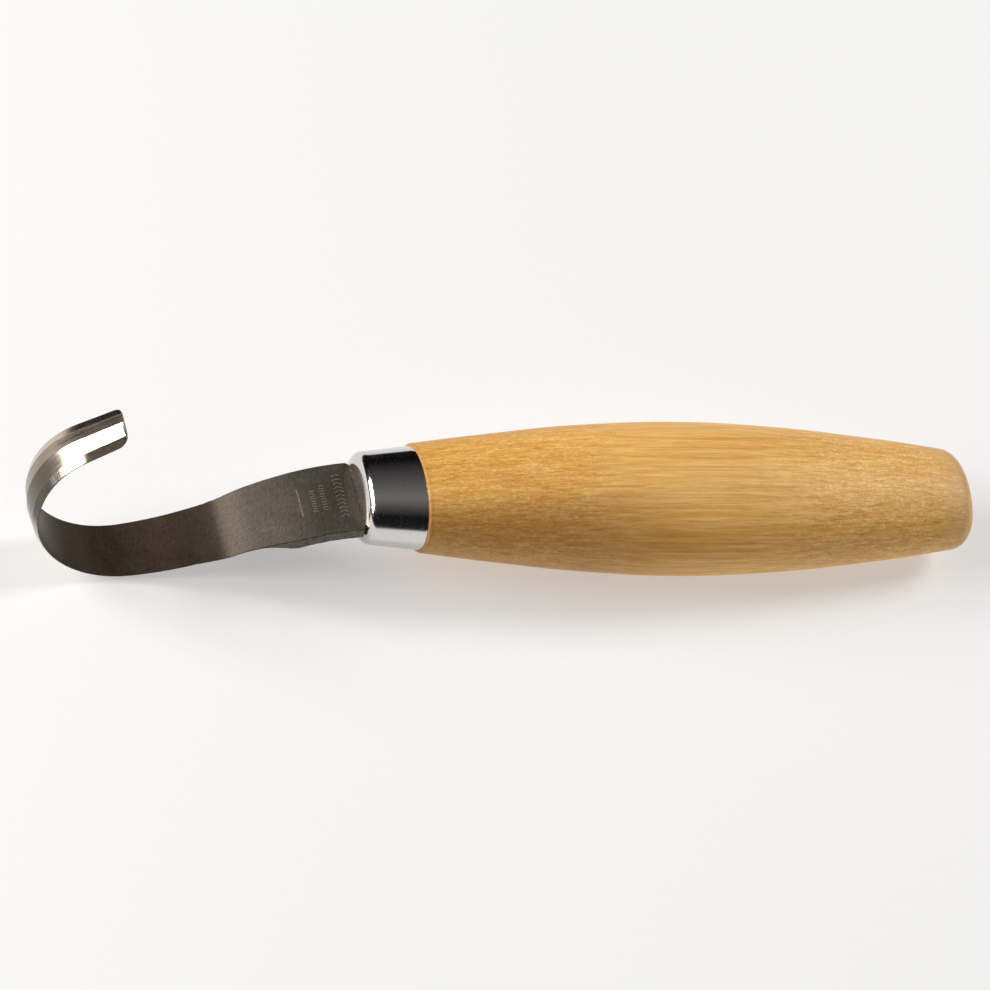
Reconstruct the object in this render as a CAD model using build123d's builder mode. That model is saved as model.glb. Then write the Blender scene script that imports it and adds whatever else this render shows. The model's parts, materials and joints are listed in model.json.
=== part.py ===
from build123d import *
from math import cos, pi, radians, sin
import os

# Hook knife for carving spoons and bowls, lying at rest on its handle's belly and the bottom
# of its hook. Millimetres, +Z up. X runs along the knife: the hook is at -X, the butt at +X.
# Y runs across the strip that the blade is bent from. The origin is at the bottom centre.

# The knife's own axes: X is the handle's axis, and x = 0 is the ferrule's front face.
rest_pitch = 2.365  # degrees by which the blade end is lifted when the knife lies at rest

# Handle: a turned oval barrel with a tenon that the ferrule covers
oval_ratio = 1.36  # width of every oval section over its height
ferrule_length = 9.9
butt_at = 108.0  # the flat end of the butt
butt_rim_radius = 3.0
front_rim_radius = 0.4
# Where the barrel's outline is set: (distance along the axis, half width of the oval)
barrel_outline = [
    (ferrule_length, 10.0),
    (24.0, 11.9),
    (40.0, 13.6),
    (57.0, 14.3),
    (74.0, 13.5),
    (90.0, 11.8),
    (101.0, 10.2),
    (butt_at, 9.0),
]

# Ferrule: a drawn metal cup pushed over the tenon
ferrule_front_half_width = 8.35
ferrule_rear_half_width = 9.55
ferrule_wall = 0.7
ferrule_front_radius = 1.6
tenon_clearance = 0.05

# Blade: one strip with a narrower tang, bent flatwise
strip_thickness = 2.0
shoulder_gap = 0.1  # between the blade's shoulder and the ferrule
first_heading = 4.5  # degrees below the axis where the blade leaves the ferrule
# The bends from the ferrule to the tip: (length, radius to the strip's middle).
# A positive radius bends the strip down, a negative one bends it up, and 0 is straight.
bends = [
    (20.0, 35.0),
    (2.0, 0.0),
    (2.0, -11.6),
    (15.3, -51.7),
    (35.4, -16.7),
    (7.5, -12.8),
    (7.7, 0.0),
]
hook_bend = 4  # which of the bends is the hook's large round bottom
hook_bottom_at = 42.0  # along the strip, where the hook rests
hook_side_at = 66.0  # along the strip, where the hook is furthest from the handle
# Half widths of the strip on each side of its middle: (distance along the strip, half width)
far_edge = [(0.0, 6.8), (12.0, 6.3), (20.0, 6.25), (28.0, 5.95), (45.0, 5.2), (62.0, 4.7), (89.9, 3.8)]
near_edge = [
    (0.0, 7.6),
    (6.0, 7.7),
    (11.0, 7.85),
    (14.0, 7.4),
    (17.0, 7.0),
    (20.0, 6.45),
    (28.0, 5.6),
    (62.0, 5.0),
    (89.9, 3.8),
]
# The outer face is ground along both edges: each bevel starts here and is full further on
far_grind = (21.0, 32.0)
near_grind = (11.0, 17.0)
far_bevel_width = 1.6
near_bevel_width = 1.4
cutting_edge_thickness = 0.25
# Thickness under the ridge, which the grinding takes down: (distance along the strip, thickness)
ridge_thickness = [(0.0, strip_thickness), (17.0, strip_thickness), (45.0, 1.05), (89.9, 1.0)]
facet_drop = 0.3  # from the ridge to a bevel's border
ridge_place = 0.47  # of the way from the far edge to the near edge
face_crown = 0.02
far_tip_radius = 1.2
near_tip_radius = 2.0
section_step = 4.0  # longest stretch between two sections of the loft

# Tang and the adhesive that holds it
tang_length = 76.0
tang_root_width = 9.4
tang_end_width = 6.0
bore_width = 11.0
bore_height = 3.6
bore_depth = 80.0
slot_width = 10.6
slot_height = 2.8
bead_width = 13.0
bead_height = 3.0
bead_reach = 0.45
bead_clearance = 0.09

axis_dir = Vector(cos(radians(rest_pitch)), 0, -sin(radians(rest_pitch)))
up_dir = Vector(sin(radians(rest_pitch)), 0, cos(radians(rest_pitch)))
across_dir = Vector(0, 1, 0)


def between(table, distance):
    """Value at a distance along the strip, in a straight line between the table's entries."""
    for (start, low), (end, high) in zip(table, table[1:]):
        if distance <= end:
            return low + (high - low) * (distance - start) / (end - start)
    return table[-1][1]


def along_strip(distance):
    """Place (x, z) and heading in the knife's own axes at a distance along the strip."""
    x, z = -shoulder_gap, 0.0
    heading = radians(180 + first_heading)
    left = distance
    for length, radius in bends:
        step = min(left, length)
        if radius == 0:
            x += step * cos(heading)
            z += step * sin(heading)
        else:
            turn = step / radius
            x += radius * (sin(heading + turn) - sin(heading))
            z -= radius * (cos(heading + turn) - cos(heading))
            heading += turn
        left -= step
        if left <= 0:
            break
    return x, z, heading


def in_rest_frame(x, z):
    """A point of the knife's middle plane, before the knife is set on its origin."""
    return axis_dir * x + up_dir * z


def arc_centre(index):
    """Centre of one bend in the rest frame."""
    start = sum(length for length, radius in bends[:index])
    x, z, heading = along_strip(start)
    radius = bends[index][1]
    return in_rest_frame(x - radius * sin(heading), z + radius * cos(heading))


# The origin: halfway between the hook's left side and the butt, level with the hook's bottom
hook_inner_radius = abs(bends[hook_bend][1]) - strip_thickness / 2
hook_centre = arc_centre(hook_bend)
lowest = hook_centre.Z - hook_inner_radius - between(ridge_thickness, hook_bottom_at)
leftmost = hook_centre.X - hook_inner_radius - between(ridge_thickness, hook_side_at)
butt_flat_half_height = (barrel_outline[-1][1] - butt_rim_radius) / oval_ratio
rightmost = in_rest_frame(butt_at, butt_flat_half_height).X
to_origin = Vector(-(leftmost + rightmost) / 2, 0, -lowest)


def axis_plane(x):
    """Plane square to the handle's axis: its x is the knife's width, its y is up."""
    origin = in_rest_frame(x, 0) + to_origin
    return Plane(origin=origin, x_dir=across_dir, z_dir=axis_dir)


def strip_plane(distance):
    """Plane square to the strip: its x is across the strip, its y points out of the hook."""
    x, z, heading = along_strip(distance)
    direction = in_rest_frame(cos(heading), sin(heading))
    return Plane(origin=in_rest_frame(x, z) + to_origin, x_dir=across_dir, z_dir=direction)


def strip_stations():
    """Distances along the strip where the loft has a section."""
    stations = [0.0]
    for length, radius in bends:
        count = max(1, round(length / section_step))
        start = stations[-1]
        stations += [start + length * (i + 1) / count for i in range(count)]
    return stations


def strip_outline(distance):
    """Corners of the strip's section: the flat inner face, then the ground outer face."""
    far = between(far_edge, distance)
    near = -between(near_edge, distance)
    inner = -strip_thickness / 2
    outer = inner + between(ridge_thickness, distance)
    heights = []
    for start, full in (far_grind, near_grind):
        ground = min(1.0, max(0.0, (distance - start) / (full - start)))
        border = outer - facet_drop * ground
        edge = outer + (inner + cutting_edge_thickness - outer) * ground
        heights.append((border, edge, ground))
    (far_border, far_cut, far_ground), (near_border, near_cut, near_ground) = heights
    ridge = outer + face_crown * (2 - far_ground - near_ground) / 2
    return [
        (far, inner),
        (far, far_cut),
        (far - far_bevel_width, far_border),
        (far + (near - far) * ridge_place, ridge),
        (near + near_bevel_width, near_border),
        (near, near_cut),
        (near, inner),
    ]


strip_length = sum(length for length, radius in bends)

# ---------------------------------------------------------------- hook blade and its tang
with BuildPart() as hook_blade:
    for station in strip_stations():
        with BuildSketch(strip_plane(station)):
            with BuildLine():
                Polyline(*strip_outline(station), close=True)
            make_face()
    loft()
    # The tip is cut square, with its two corners rounded
    x, z, heading = along_strip(strip_length)
    tip_dir = in_rest_frame(cos(heading), sin(heading))
    tip_origin = in_rest_frame(x, z) + to_origin
    tip_face = Plane(origin=tip_origin, x_dir=across_dir, z_dir=across_dir.cross(tip_dir))
    for side, half_width, radius in [
        (1, far_edge[-1][1], far_tip_radius),
        (-1, near_edge[-1][1], near_tip_radius),
    ]:
        corner = (side * (half_width - radius), -radius)
        with BuildSketch(tip_face):
            with Locations((side * (half_width - radius / 2 + 0.5), -radius / 2 + 0.5)):
                Rectangle(radius + 1, radius + 1)
            with Locations(corner):
                Circle(radius, mode=Mode.SUBTRACT)
        extrude(amount=2 * strip_thickness, both=True, mode=Mode.SUBTRACT)
    # The tang runs straight back into the handle
    with BuildSketch(axis_plane(0)):
        Rectangle(tang_root_width, strip_thickness)
    with BuildSketch(axis_plane(tang_length)):
        Rectangle(tang_end_width, strip_thickness)
    loft()
    with BuildSketch(axis_plane(-2 * shoulder_gap)):
        Rectangle(tang_root_width, strip_thickness)
    extrude(amount=2 * shoulder_gap)
hook_blade.part.label = "hook_blade"

# ---------------------------------------------------------------- ferrule
with BuildPart() as ferrule:
    for x, half_width in [(0, ferrule_front_half_width), (ferrule_length, ferrule_rear_half_width)]:
        with BuildSketch(axis_plane(x)):
            Ellipse(half_width, half_width / oval_ratio)
    loft()
    front_edge = ferrule.edges().sort_by(Axis.X)[0]
    fillet(front_edge, radius=ferrule_front_radius)
    # The hollow that the tenon fills
    for x, half_width in [
        (ferrule_wall, ferrule_front_half_width),
        (ferrule_length, ferrule_rear_half_width),
    ]:
        with BuildSketch(axis_plane(x)):
            Ellipse(half_width - ferrule_wall, half_width / oval_ratio - ferrule_wall)
    loft(mode=Mode.SUBTRACT)
    # The slot for the tang
    with BuildSketch(axis_plane(-1)):
        SlotOverall(slot_width, slot_height)
    extrude(amount=2 + ferrule_wall, mode=Mode.SUBTRACT)
ferrule.part.label = "ferrule"

# ---------------------------------------------------------------- handle
with BuildPart() as handle:
    for x, half_width in barrel_outline:
        with BuildSketch(axis_plane(x)):
            Ellipse(half_width, half_width / oval_ratio)
    loft()
    rims = handle.edges().sort_by(Axis.X)
    fillet(rims[-1], radius=butt_rim_radius)
    front_rim = handle.edges().sort_by(Axis.X)[0]
    fillet(front_rim, radius=front_rim_radius)
    # The tenon inside the ferrule
    wall = ferrule_wall + tenon_clearance
    for x, half_width in [(wall, ferrule_front_half_width), (ferrule_length, ferrule_rear_half_width)]:
        with BuildSketch(axis_plane(x)):
            Ellipse(half_width - wall, half_width / oval_ratio - wall)
    loft()
    # The bore for the tang
    with BuildSketch(axis_plane(0)):
        SlotOverall(bore_width, bore_height)
    extrude(amount=bore_depth, mode=Mode.SUBTRACT)
handle.part.label = "handle"

# ---------------------------------------------------------------- cured adhesive round the tang
with BuildPart() as tang_adhesive:
    with BuildSketch(axis_plane(ferrule_wall + tenon_clearance)):
        SlotOverall(bore_width, bore_height)
    extrude(amount=bore_depth - ferrule_wall - tenon_clearance)
    # The plug in the ferrule's slot
    with BuildSketch(axis_plane(0)):
        SlotOverall(slot_width, slot_height)
    extrude(amount=ferrule_wall + tenon_clearance)
    # The two beads that squeezed out in front of it, one on each face of the strip
    with BuildSketch(axis_plane(0)):
        SlotOverall(bead_width, bead_height)
        Rectangle(2 * bead_width, strip_thickness + 2 * bead_clearance, mode=Mode.SUBTRACT)
    extrude(amount=-bead_reach)
    # The space that the tang takes
    with BuildSketch(axis_plane(0)):
        Rectangle(tang_root_width, strip_thickness)
    with BuildSketch(axis_plane(tang_length)):
        Rectangle(tang_end_width, strip_thickness)
    loft(mode=Mode.SUBTRACT)
tang_adhesive.part.label = "tang_adhesive"

# ---------------------------------------------------------------- files
os.makedirs("parts", exist_ok=True)
export_step(hook_blade.part, "parts/hook_blade.step")
export_step(ferrule.part, "parts/ferrule.step")
export_step(handle.part, "parts/handle.step")
export_step(tang_adhesive.part, "parts/tang_adhesive.step")
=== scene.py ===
"""A woodcarver's hook knife in steel, plated metal and oiled birch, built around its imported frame.

Sizes are in millimetres in the knife's own axes, and a finished mesh is placed in the frame in
metres. The knife's own X runs along the handle from the ferrule's front face (x = 0) to the
butt, Y runs across the blade strip, and Z is the side that the hook curls to.
"""

import json
from math import ceil, copysign, cos, pi, radians, sin, sqrt

import bmesh
import bpy
from bpy.props import FloatProperty, FloatVectorProperty, IntProperty, PointerProperty
from mathutils import Matrix, Vector, noise


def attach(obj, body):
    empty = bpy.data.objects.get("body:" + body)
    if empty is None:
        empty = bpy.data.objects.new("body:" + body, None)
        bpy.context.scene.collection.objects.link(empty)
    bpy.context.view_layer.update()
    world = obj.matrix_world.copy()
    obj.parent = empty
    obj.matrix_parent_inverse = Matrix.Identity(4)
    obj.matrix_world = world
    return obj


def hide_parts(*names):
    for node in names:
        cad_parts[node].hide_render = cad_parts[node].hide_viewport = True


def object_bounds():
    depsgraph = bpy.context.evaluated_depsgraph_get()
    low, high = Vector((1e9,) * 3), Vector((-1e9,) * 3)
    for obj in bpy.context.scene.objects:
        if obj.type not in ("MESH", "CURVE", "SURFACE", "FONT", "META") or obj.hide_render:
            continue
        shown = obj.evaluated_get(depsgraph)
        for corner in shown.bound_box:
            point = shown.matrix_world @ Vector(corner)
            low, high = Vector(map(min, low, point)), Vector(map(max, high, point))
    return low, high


bl_info = {
    "name": "Hook knife",
    "version": (1, 0, 0),
    "blender": (4, 5, 0),
    "location": "View3D > Sidebar > Hook knife",
    "description": "Builds a woodcarver's hook knife with its finishes, piece by piece",
    "category": "Add Mesh",
}

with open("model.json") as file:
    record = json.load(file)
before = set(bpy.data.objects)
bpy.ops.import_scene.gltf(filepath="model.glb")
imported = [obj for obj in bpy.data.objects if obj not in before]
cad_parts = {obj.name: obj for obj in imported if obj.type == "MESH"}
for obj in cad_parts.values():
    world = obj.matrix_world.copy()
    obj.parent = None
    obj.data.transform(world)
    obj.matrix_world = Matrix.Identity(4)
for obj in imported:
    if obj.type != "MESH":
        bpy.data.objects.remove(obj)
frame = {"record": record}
cad_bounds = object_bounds()

BUTT_AT = 108.0  # from the ferrule's front face to the flat of the butt
BARREL_OVAL = 1.36  # width of the barrel's section over its height
BODY = "root"


def knife_axes():
    """Matrix from the knife's own axes, in millimetres, to the frame, in metres."""
    butt = next(m for m in frame["record"]["mounts"] if m["name"] == "butt_face")
    along = Vector(butt["axis"]).normalized()
    across = Vector((0, 1, 0))
    up = along.cross(across)
    origin = Vector(butt["pos_m"]) - along * BUTT_AT * 0.001
    turned = Matrix((along, across, up)).transposed().to_4x4()
    return Matrix.Translation(origin) @ turned @ Matrix.Scale(0.001, 4)


KNIFE = knife_axes()

# ------------------------------------------------------------------ the blade strip's line

# Bends from the ferrule to the tip: (length, radius). Positive bends down, negative bends up.
BENDS = ((20.0, 35.0), (2.0, 0.0), (2.0, -11.6), (15.3, -51.7), (35.4, -16.7), (7.5, -12.8), (7.7, 0.0))
FIRST_HEADING = 4.5
STRIP_START = -0.06
STRIP_LENGTH = sum(length for length, radius in BENDS)
# Half widths on each side of the strip's middle: (distance along the strip, half width)
FAR_EDGE = ((0.0, 6.8), (12.0, 6.3), (20.0, 6.25), (28.0, 5.95), (45.0, 5.2), (62.0, 4.7), (89.9, 3.8))
NEAR_EDGE = (
    (0.0, 7.6),
    (6.0, 7.7),
    (11.0, 7.85),
    (14.0, 7.4),
    (17.0, 7.0),
    (20.0, 6.45),
    (28.0, 5.6),
    (62.0, 5.0),
    (89.9, 3.8),
)

# Thickness under the ridge, which the grinding takes down: (distance along the strip, thickness)
RIDGE = ((0.0, 2.0), (17.0, 2.0), (45.0, 1.05), (89.9, 1.0))

# The tang inside the handle: (distance along the axis, half width) at its two ends
TANG = ((0.02, 4.7), (76.0, 3.0))

SATIN, SHEARED, BEVEL, FACET = range(4)  # the blade's finishes, in the order of its materials
MAP_SIZE = 100.0  # millimetres to one unit of the blade's map
MAP_SHIFT = 20.0  # millimetres that the map is moved, so that both halves of the strip lie inside it


def along_strip(distance):
    """(x, z, heading) of the strip's middle at a distance along it."""
    x, z, heading = STRIP_START, 0.0, radians(180 + FIRST_HEADING)
    left = distance
    for length, radius in BENDS:
        step = min(left, length)
        if radius:
            turn = step / radius
            x += radius * (sin(heading + turn) - sin(heading))
            z -= radius * (cos(heading + turn) - cos(heading))
            heading += turn
        else:
            x += step * cos(heading)
            z += step * sin(heading)
        left -= step
        if left <= 0:
            break
    return x, z, heading


def strip_point(distance, across, outward):
    """A point of the strip. Outward is the side away from the hook's hollow."""
    x, z, heading = along_strip(distance)
    return Vector((x - sin(heading) * outward, across, z + cos(heading) * outward))


def between(table, distance):
    """Value at a distance, in a straight line between the table's entries."""
    for (start, low), (end, high) in zip(table, table[1:]):
        if distance <= end:
            return low + (high - low) * (distance - start) / (end - start)
    return table[-1][1]


def smooth_between(table, distance, reach=1.2):
    """Value at a distance, with the table's corners rounded over a reach."""
    steps = (-1.0, -0.5, 0.0, 0.5, 1.0)
    found = [between(table, min(max(distance + reach * s, 0.0), STRIP_LENGTH)) for s in steps]
    return sum(found) / len(steps)


def ease(value, start, end):
    """0 before start, 1 after end, and a smooth rise in between."""
    share = min(1.0, max(0.0, (value - start) / (end - start)))
    return share * share * (3 - 2 * share)


def corner_cut(distance_to_end, radius):
    """How far a rounded corner stands in from the full width."""
    if distance_to_end >= radius:
        return 0.0
    gap = radius - max(distance_to_end, 0.0)
    return radius - sqrt(max(radius * radius - gap * gap, 0.0))


# ------------------------------------------------------------------ settings


def size_mm(name, description, default):
    """A size in millimetres."""
    return FloatProperty(name=name, description=description + ", in mm", default=default)


def stretch_mm(name, description, default):
    """Where something starts along the strip and where it is full."""
    return FloatVectorProperty(name=name, description=description + ", in mm", default=default, size=2)


def paint(name, description, default):
    """A colour."""
    return FloatVectorProperty(name=name, description=description, default=default, subtype="COLOR")


class BladeSettings(bpy.types.PropertyGroup):
    """Sizes and colour of the steel strip."""

    thickness: size_mm("Strip thickness", "Stock thickness", 2.0)
    ridge_share: FloatProperty(
        name="Ridge", description="Where the outer face's ridge lies, from far to near edge", default=0.465
    )
    far_bevel: size_mm("Far bevel", "Width of the far bevel", 1.6)
    near_bevel: size_mm("Near bevel", "Width of the near bevel", 1.4)
    border_line: size_mm("Border line", "Width of the line between far bevel and facet", 0.16)
    facet_drop: size_mm("Facet drop", "From the ridge to a bevel's border", 0.30)
    facet_hollow: size_mm("Facet hollow", "Depth of the wheel's hollow in each facet", 0.05)
    edge: size_mm("Edge", "Thickness left at the cutting edges", 0.20)
    far_grind: stretch_mm("Far grind", "Where the far edge's grinding starts and is full", (21.0, 33.0))
    near_grind: stretch_mm("Near grind", "Where the near edge's grinding starts and is full", (11.0, 17.5))
    far_tip_radius: size_mm("Far tip corner", "Radius", 1.2)
    near_tip_radius: size_mm("Near tip corner", "Radius", 2.0)
    steel: paint("Steel", "Colour of the bare steel", (0.40, 0.345, 0.285))


class HandleSettings(bpy.types.PropertyGroup):
    """Sizes and colour of the birch barrel."""

    start: size_mm("Start", "Front of the barrel", 9.9)
    half_width: size_mm("Half width", "Half the width at the thickest", 14.3)
    oval: FloatProperty(name="Oval", description="Width of the section over its height", default=BARREL_OVAL)
    front_rim: size_mm("Front rim", "Radius of the front rim", 0.45)
    butt_rim: size_mm("Butt rim", "Radius of the butt's rim", 3.0)
    hand_finish: size_mm("Hand finish", "Greatest unevenness of the turned surface", 0.06)
    rings: IntProperty(name="Rings", description="Rings of faces along the barrel", default=220)
    around: IntProperty(name="Around", description="Faces round the barrel", default=160)
    wood: paint("Birch", "Colour of the oiled birch", (0.72, 0.395, 0.090))


class FerruleSettings(bpy.types.PropertyGroup):
    """Sizes and colour of the drawn metal cup."""

    length: size_mm("Length", "Length of the cup", 9.9)
    front_half_width: size_mm("Front half width", "Half the width in front", 8.35)
    rear_half_width: size_mm("Rear half width", "Half the width at the barrel", 9.55)
    front_radius: size_mm("Front rim", "Length of the rounded rim", 1.6)
    front_shoulder: size_mm("Front shoulder", "How far the rounded rim reaches in", 2.0)
    rear_lip: size_mm("Rear lip", "Radius of the rear rim", 0.08)
    wall: size_mm("Wall", "Thickness of the metal", 0.7)
    plate: paint("Plate", "Colour of the plated metal", (0.66, 0.65, 0.65))


class StudioSettings(bpy.types.PropertyGroup):
    """Camera, floor and lights."""

    azimuth: FloatProperty(
        name="Azimuth", description="Camera's turn about the knife", default=radians(-20), subtype="ANGLE"
    )
    elevation: FloatProperty(
        name="Elevation", description="Camera's height about the knife", default=radians(50), subtype="ANGLE"
    )
    roll: FloatProperty(name="Roll", description="Camera's roll", default=radians(-0.134), subtype="ANGLE")
    distance: FloatProperty(
        name="Distance", description="Camera to the knife", default=1.1, subtype="DISTANCE", unit="LENGTH"
    )
    lens: FloatProperty(name="Lens", description="Focal length in mm", default=242.4)
    aim: FloatVectorProperty(
        name="Aim", description="Point in view, in the knife's axes, in mm", default=(24.35, 0.55, 0.15)
    )
    floor: paint("Floor", "Colour of the floor", (0.90, 0.90, 0.90))
    floor_glow: FloatProperty(name="Floor glow", description="Strength of its own light", default=0.45)


# ------------------------------------------------------------------ node helpers


def node(tree, kind, inputs=None, **settings):
    """Adds a node. An input's value is a number, a tuple or another node's output socket."""
    made = tree.nodes.new(kind)
    for key, value in settings.items():
        setattr(made, key, value)
    for key, value in (inputs or {}).items():
        if isinstance(value, bpy.types.NodeSocket):
            tree.links.new(value, made.inputs[key])
        else:
            made.inputs[key].default_value = value
    return made


def calc(tree, operation, *values):
    """Output socket of a Math node, in a shader or a geometry tree."""
    return node(tree, "ShaderNodeMath", dict(enumerate(values)), operation=operation).outputs[0]


def stretch(tree, vector, scale):
    """The vector with each of its parts multiplied."""
    made = node(tree, "ShaderNodeVectorMath", {0: vector, 1: scale}, operation="MULTIPLY")
    return made.outputs[0]


def rise(tree, value, low, high, to_low=0.0, to_high=1.0):
    """Smooth step from one value to another."""
    values = {"Value": value, "From Min": low, "From Max": high, "To Min": to_low, "To Max": to_high}
    made = node(tree, "ShaderNodeMapRange", values, interpolation_type="SMOOTHSTEP")
    return made.outputs["Result"]


def vector_of(tree, x, y, z):
    """Output socket of three numbers put together."""
    return node(tree, "ShaderNodeCombineXYZ", {0: x, 1: y, 2: z}).outputs[0]


def blend_colour(tree, share, first, second, mode="MIX"):
    """Output socket of a colour Mix node."""
    made = node(tree, "ShaderNodeMix", data_type="RGBA", blend_type=mode)
    for index, value in ((0, share), (6, first), (7, second)):
        if isinstance(value, bpy.types.NodeSocket):
            tree.links.new(value, made.inputs[index])
        elif index:
            made.inputs[index].default_value = (*value[:3], 1.0)
        else:
            made.inputs[index].default_value = value
    return made.outputs[2]


def speckle(tree, vector, scale, detail=3.0, roughness=0.55, distortion=0.0):
    """Output socket of a Noise texture."""
    values = {"Vector": vector, "Scale": scale, "Detail": detail, "Roughness": roughness}
    made = node(tree, "ShaderNodeTexNoise", {**values, "Distortion": distortion})
    return made.outputs["Fac"]


def new_group(name, kind, inputs, outputs):
    """A node group. Inputs are named with their values, or with None for a vector."""
    sockets = {float: "NodeSocketFloat", int: "NodeSocketInt", type(None): "NodeSocketVector"}
    given_out = "NodeSocketGeometry" if kind == "GeometryNodeTree" else "NodeSocketFloat"
    tree = bpy.data.node_groups.new(name, kind)
    for label, default in inputs.items():
        made = tree.interface.new_socket(label, in_out="INPUT", socket_type=sockets[type(default)])
        if default is not None:
            made.default_value = default
    for label in outputs:
        tree.interface.new_socket(label, in_out="OUTPUT", socket_type=given_out)
    return tree, tree.nodes.new("NodeGroupInput"), tree.nodes.new("NodeGroupOutput")


def use_group(tree, name, inputs):
    """Places a shared shader group in a material with its own values."""
    made = tree.nodes.new("ShaderNodeGroup")
    made.node_tree = bpy.data.node_groups[name]
    for key, value in inputs.items():
        if isinstance(value, bpy.types.NodeSocket):
            tree.links.new(value, made.inputs[key])
        else:
            made.inputs[key].default_value = value
    return made


# ------------------------------------------------------------------ shared effects


def brush_lines_group():
    """Fine parallel lines, as a belt, a wheel or a stone leaves them. Vector is in millimetres."""
    tree, given, out = new_group(
        "Brush lines",
        "ShaderNodeTree",
        {"Vector": None, "Along": 0.15, "Across": 6.0, "Turn": 0.0},
        ("Lines", "Broad"),
    )
    values = {"Vector": given.outputs["Vector"], "Angle": given.outputs["Turn"]}
    turned = node(tree, "ShaderNodeVectorRotate", values, rotation_type="Z_AXIS")
    scale = vector_of(tree, given.outputs["Along"], given.outputs["Across"], 1.0)
    fine = stretch(tree, turned.outputs[0], scale)
    coarse = stretch(tree, fine, (0.6, 0.3, 1.0))
    tree.links.new(speckle(tree, fine, 1.0, 4.0, 0.7), out.inputs["Lines"])
    tree.links.new(speckle(tree, coarse, 1.0, 2.0, 0.5), out.inputs["Broad"])


def handling_group():
    """Smudges and fine pits that handling leaves. Vector is in millimetres."""
    tree, given, out = new_group(
        "Handling",
        "ShaderNodeTree",
        {"Vector": None, "Size": 0.12, "Pit size": 2.5},
        ("Smudge", "Pits"),
    )
    smudge = speckle(tree, given.outputs["Vector"], given.outputs["Size"], 4.0, 0.6, 0.4)
    pits = speckle(tree, given.outputs["Vector"], given.outputs["Pit size"], 2.0, 0.5)
    tree.links.new(rise(tree, smudge, 0.35, 0.7), out.inputs["Smudge"])
    tree.links.new(rise(tree, pits, 0.64, 0.74), out.inputs["Pits"])


def growth_rings_group():
    """Growth rings about a pith line beside the piece. Vector is in millimetres."""
    tree, given, out = new_group(
        "Growth rings",
        "ShaderNodeTree",
        {"Vector": None, "Spacing": 1.6, "Waviness": 0.9},
        ("Late wood",),
    )
    from_pith = node(
        tree, "ShaderNodeVectorMath", {0: given.outputs["Vector"], 1: (0.0, 34.0, 28.0)}, operation="ADD"
    )
    flat = stretch(tree, from_pith.outputs[0], (0.018, 1.0, 1.0))
    radius = node(tree, "ShaderNodeVectorMath", {0: flat}, operation="LENGTH").outputs["Value"]
    wave = speckle(tree, stretch(tree, given.outputs["Vector"], (0.035, 0.12, 0.12)), 1.0, 3.0, 0.55)
    shift = calc(tree, "MULTIPLY", wave, calc(tree, "MULTIPLY", given.outputs["Waviness"], 4.0))
    turns = calc(tree, "ADD", calc(tree, "DIVIDE", radius, given.outputs["Spacing"]), shift)
    through = calc(tree, "FRACT", turns)
    number = calc(tree, "FLOOR", turns)
    tone = node(tree, "ShaderNodeTexWhiteNoise", {"W": number}, noise_dimensions="1D").outputs["Value"]
    late = calc(tree, "MULTIPLY", rise(tree, through, 0.66, 0.93), rise(tree, through, 0.94, 1.0, 1.0, 0.0))
    tree.links.new(calc(tree, "MULTIPLY", late, rise(tree, tone, -0.6, 1.0)), out.inputs["Late wood"])


# ------------------------------------------------------------------ materials


def new_material(name):
    """A node material with an empty tree but for its shader and output."""
    material = bpy.data.materials.new(name)
    material.use_nodes = True
    tree = material.node_tree
    tree.nodes.clear()
    shader = tree.nodes.new("ShaderNodeBsdfPrincipled")
    out = tree.nodes.new("ShaderNodeOutputMaterial")
    tree.links.new(shader.outputs[0], out.inputs[0])
    return material, tree, shader


def knife_coordinates(tree):
    """Object coordinates turned into the knife's own axes, in millimetres."""
    coordinates = tree.nodes.new("ShaderNodeTexCoord").outputs["Object"]
    move = KNIFE.inverted()
    shift = move.to_translation()
    turn = move.to_3x3().normalized().to_euler()
    to_mm = (1000, 1000, 1000)
    values = {"Vector": coordinates, "Location": shift, "Rotation": turn, "Scale": to_mm}
    return node(tree, "ShaderNodeMapping", values).outputs[0]


def strip_coordinates(tree):
    """Distance along the strip and across it, in millimetres, from the blade's own map."""
    made = node(tree, "ShaderNodeUVMap", uv_map="strip")
    scaled = stretch(tree, made.outputs[0], (MAP_SIZE, MAP_SIZE, MAP_SIZE))
    shifted = node(tree, "ShaderNodeVectorMath", {0: scaled, 1: (0.0, MAP_SHIFT, 0.0)}, operation="SUBTRACT")
    return shifted.outputs[0]


def bump(tree, shader, height, strength, distance):
    """Feeds a height into the shader's normal."""
    made = node(tree, "ShaderNodeBump", {"Strength": strength, "Distance": distance, "Height": height})
    tree.links.new(made.outputs[0], shader.inputs["Normal"])


def feed_metal(tree, shader, colour, rough, height, strength, distance=0.00003, metallic=1.0):
    """Feeds a metal's colour, roughness and bump into its shader."""
    tree.links.new(colour, shader.inputs["Base Color"])
    shader.inputs["Metallic"].default_value = metallic
    tree.links.new(rough, shader.inputs["Roughness"])
    bump(tree, shader, height, strength, distance)


def tint(colour, factor):
    """A colour made lighter or darker."""
    return tuple(channel * factor for channel in colour[:3])


def band(tree, value, opens, full, fades, closes):
    """1 between two places along a value, easing to 0 on both sides."""
    return calc(tree, "MULTIPLY", rise(tree, value, opens, full), rise(tree, value, fades, closes, 1.0, 0.0))


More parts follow.
